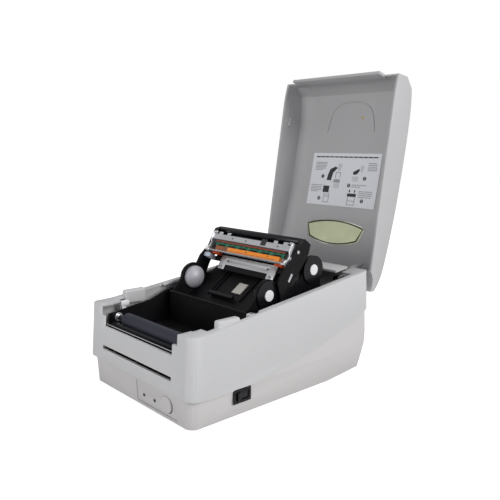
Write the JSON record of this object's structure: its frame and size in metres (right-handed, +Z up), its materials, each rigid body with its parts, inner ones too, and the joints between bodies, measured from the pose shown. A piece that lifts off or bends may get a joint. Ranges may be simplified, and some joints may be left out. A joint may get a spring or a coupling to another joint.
{
  "type": "label printer",
  "caption": "Desktop label printer with a lift-up lid, a raised print-head carriage, ribbon hubs, a driven platen roller and a roll bay.",
  "frame": {"origin": "centre of the footprint, on the surface that the feet stand on", "axes": "+X to the right seen from the front, +Y to the back, +Z up"},
  "size_m": [0.1984, 0.3627, 0.3764],
  "materials": {
    "case_plastic": "fine-textured light grey moulded plastic",
    "base_plastic": "fine-textured slightly pinkish grey plastic",
    "lid_plastic": "fine-textured light grey moulded plastic, darker inside",
    "window_tint": "olive tinted translucent window",
    "card": "printed card",
    "black_plastic": "black moulded plastic",
    "black_gloss": "glossy black plastic",
    "bright_steel": "bright zinc-plated sheet steel",
    "steel_pin": "ground steel",
    "platen_rubber": "dark blue-black rubber",
    "white_plastic": "white moulded plastic",
    "hub_grey": "translucent grey hub",
    "board_green": "green solder mask",
    "head_gold": "orange-gold glazed ceramic",
    "head_red": "dark red strip",
    "head_alu": "extruded aluminium",
    "tab_red": "red plastic",
    "foot_rubber": "black rubber",
    "gear_plastic": "natural acetal",
    "brass_bush": "sintered bush",
    "motor_can": "black painted steel",
    "lamp": "light pipe",
    "connector": "black connector shells",
    "sensor_white": "pale blue-white plastic"
  },
  "bodies": {
    "housing": {"case_screws": "steel_pin", "frame_pins": "steel_pin", "front_pan": "black_plastic", "hinge_blocks": "black_plastic", "hinge_pins": "steel_pin", "label_partition": "black_plastic", "lower_base": "base_plastic", "main_board": "board_green", "main_frame": "black_plastic", "motor_bracket": "bright_steel", "panel_board": "board_green", "panel_lamps": "lamp", "platen_bushes": "brass_bush", "rear_ports": "connector", "ribbon_plate_left": "black_plastic", "ribbon_plate_right": "black_plastic", "ribbon_tray": "black_plastic", "rubber_feet": "foot_rubber", "stepper_motor": "motor_can", "switch_housing": "black_gloss", "tear_bar": "bright_steel", "tray_plate": "bright_steel", "upper_case": "case_plastic"},
    "lid": {"lid_shell": "lid_plastic", "lid_window": "window_tint", "instruction_sheet": "card"},
    "carriage": {"head_arm_left": "black_plastic", "head_arm_right": "black_plastic", "module_top_bar": "black_plastic", "guide_beam": "black_plastic", "guide_plate": "bright_steel", "guide_plate_screws": "steel_pin", "ribbon_sensor": "sensor_white", "arm_leaf": "bright_steel", "head_springs": "steel_pin"},
    "print_head": {"head_heat_sink": "head_alu", "head_circuit_board": "board_green", "head_ceramic": "head_gold", "head_cover_strip": "head_red", "head_driver_covers": "black_gloss", "head_bracket": "bright_steel", "ribbon_guide_rod": "steel_pin", "ribbon_guide_tabs": "tab_red"},
    "platen": {"platen_roller": "platen_rubber", "platen_shaft": "steel_pin", "platen_gear": "gear_plastic"},
    "idler": {"idler_gear": "gear_plastic"},
    "motor_rotor": {"motor_pinion": "steel_pin"},
    "rewind_left": {"rewind_hub_left": "hub_grey"},
    "rewind_right": {"rewind_hub_right": "black_gloss", "rewind_cap": "white_plastic"},
    "supply_left": {"supply_hub_left": "hub_grey"},
    "supply_right": {"supply_hub_right": "black_gloss", "supply_cap": "white_plastic"},
    "rocker": {"power_rocker": "black_gloss"},
    "feed_key": {"feed_button": "base_plastic"},
    "lever": {"release_lever": "white_plastic"},
    "guide_left": {"media_guide_left": "black_plastic"},
    "guide_right": {"media_guide_right": "black_plastic"},
    "pinion": {"guide_pinion": "gear_plastic"}
  },
  "joints": [
    {"name": "lid_hinge", "type": "hinge", "parent": "housing", "child": "lid", "pos_m": [0, 0.1275, 0.1126], "axis": [1, 0, 0], "range_deg": [0, 105.5]},
    {"name": "carriage_swing", "type": "hinge", "parent": "housing", "child": "carriage", "pos_m": [0, -0.002, 0.0374], "axis": [1, 0, 0], "range_deg": [0, 76]},
    {"name": "head_float", "type": "hinge", "parent": "carriage", "child": "print_head", "pos_m": [0, 0.0302, 0.16076], "axis": [1, 0, 0], "range_deg": [0, 2], "stiffness_Nm_per_rad": 8, "springref_deg": -2.01},
    {"name": "platen_spin", "type": "hinge", "parent": "housing", "child": "platen", "pos_m": [0, -0.115, 0.078], "axis": [1, 0, 0], "continuous": true},
    {"name": "idler_spin", "type": "hinge", "parent": "housing", "child": "idler", "pos_m": [0.082, -0.09755, 0.0572], "axis": [1, 0, 0], "continuous": true},
    {"name": "motor_spin", "type": "hinge", "parent": "housing", "child": "motor_rotor", "pos_m": [0.082, -0.08747, 0.03975], "axis": [1, 0, 0], "continuous": true},
    {"name": "rewind_left_spin", "type": "hinge", "parent": "housing", "child": "rewind_left", "pos_m": [-0.065, -0.0115, 0.1152], "axis": [1, 0, 0], "continuous": true},
    {"name": "rewind_right_spin", "type": "hinge", "parent": "housing", "child": "rewind_right", "pos_m": [0.065, -0.0115, 0.1152], "axis": [1, 0, 0], "continuous": true},
    {"name": "supply_left_spin", "type": "hinge", "parent": "housing", "child": "supply_left", "pos_m": [-0.065, 0.0627, 0.1359], "axis": [1, 0, 0], "continuous": true},
    {"name": "supply_right_spin", "type": "hinge", "parent": "housing", "child": "supply_right", "pos_m": [0.065, 0.0627, 0.1359], "axis": [1, 0, 0], "continuous": true},
    {"name": "rocker_tilt", "type": "hinge", "parent": "housing", "child": "rocker", "pos_m": [0.0933, -0.0727, 0.0234], "axis": [0, 0, 1], "range_deg": [-18, 0]},
    {"name": "feed_press", "type": "slide", "parent": "housing", "child": "feed_key", "axis": [0, 1, 0], "range_m": [0, 0.0012], "stiffness_N_per_m": 400, "springref_m": -0.001},
    {"name": "lever_swing", "type": "hinge", "parent": "housing", "child": "lever", "pos_m": [-0.081, -0.105, 0.074], "axis": [1, 0, 0], "range_deg": [-12, 0], "stiffness_Nm_per_rad": 0.2, "springref_deg": 8.59},
    {"name": "guide_left_slide", "type": "slide", "parent": "housing", "child": "guide_left", "axis": [1, 0, 0], "range_m": [0, 0.024]},
    {"name": "guide_right_slide", "type": "slide", "parent": "housing", "child": "guide_right", "axis": [1, 0, 0], "range_m": [-0.024, 0]},
    {"name": "guide_pinion_spin", "type": "hinge", "parent": "housing", "child": "pinion", "pos_m": [0, 0.068, 0.017], "axis": [0, 0, 1], "range_deg": [0, 225]}
  ],
  "couplings": [
    {"joint": "idler_spin", "follows": "platen_spin", "ratio": -0.8},
    {"joint": "motor_spin", "follows": "platen_spin", "ratio": 2.4},
    {"joint": "carriage_swing", "follows": "lid_hinge", "ratio": 0.72037},
    {"joint": "guide_right_slide", "follows": "guide_left_slide", "ratio": -1},
    {"joint": "guide_pinion_spin", "follows": "guide_left_slide", "rad_per_m": 161.29}
  ]
}
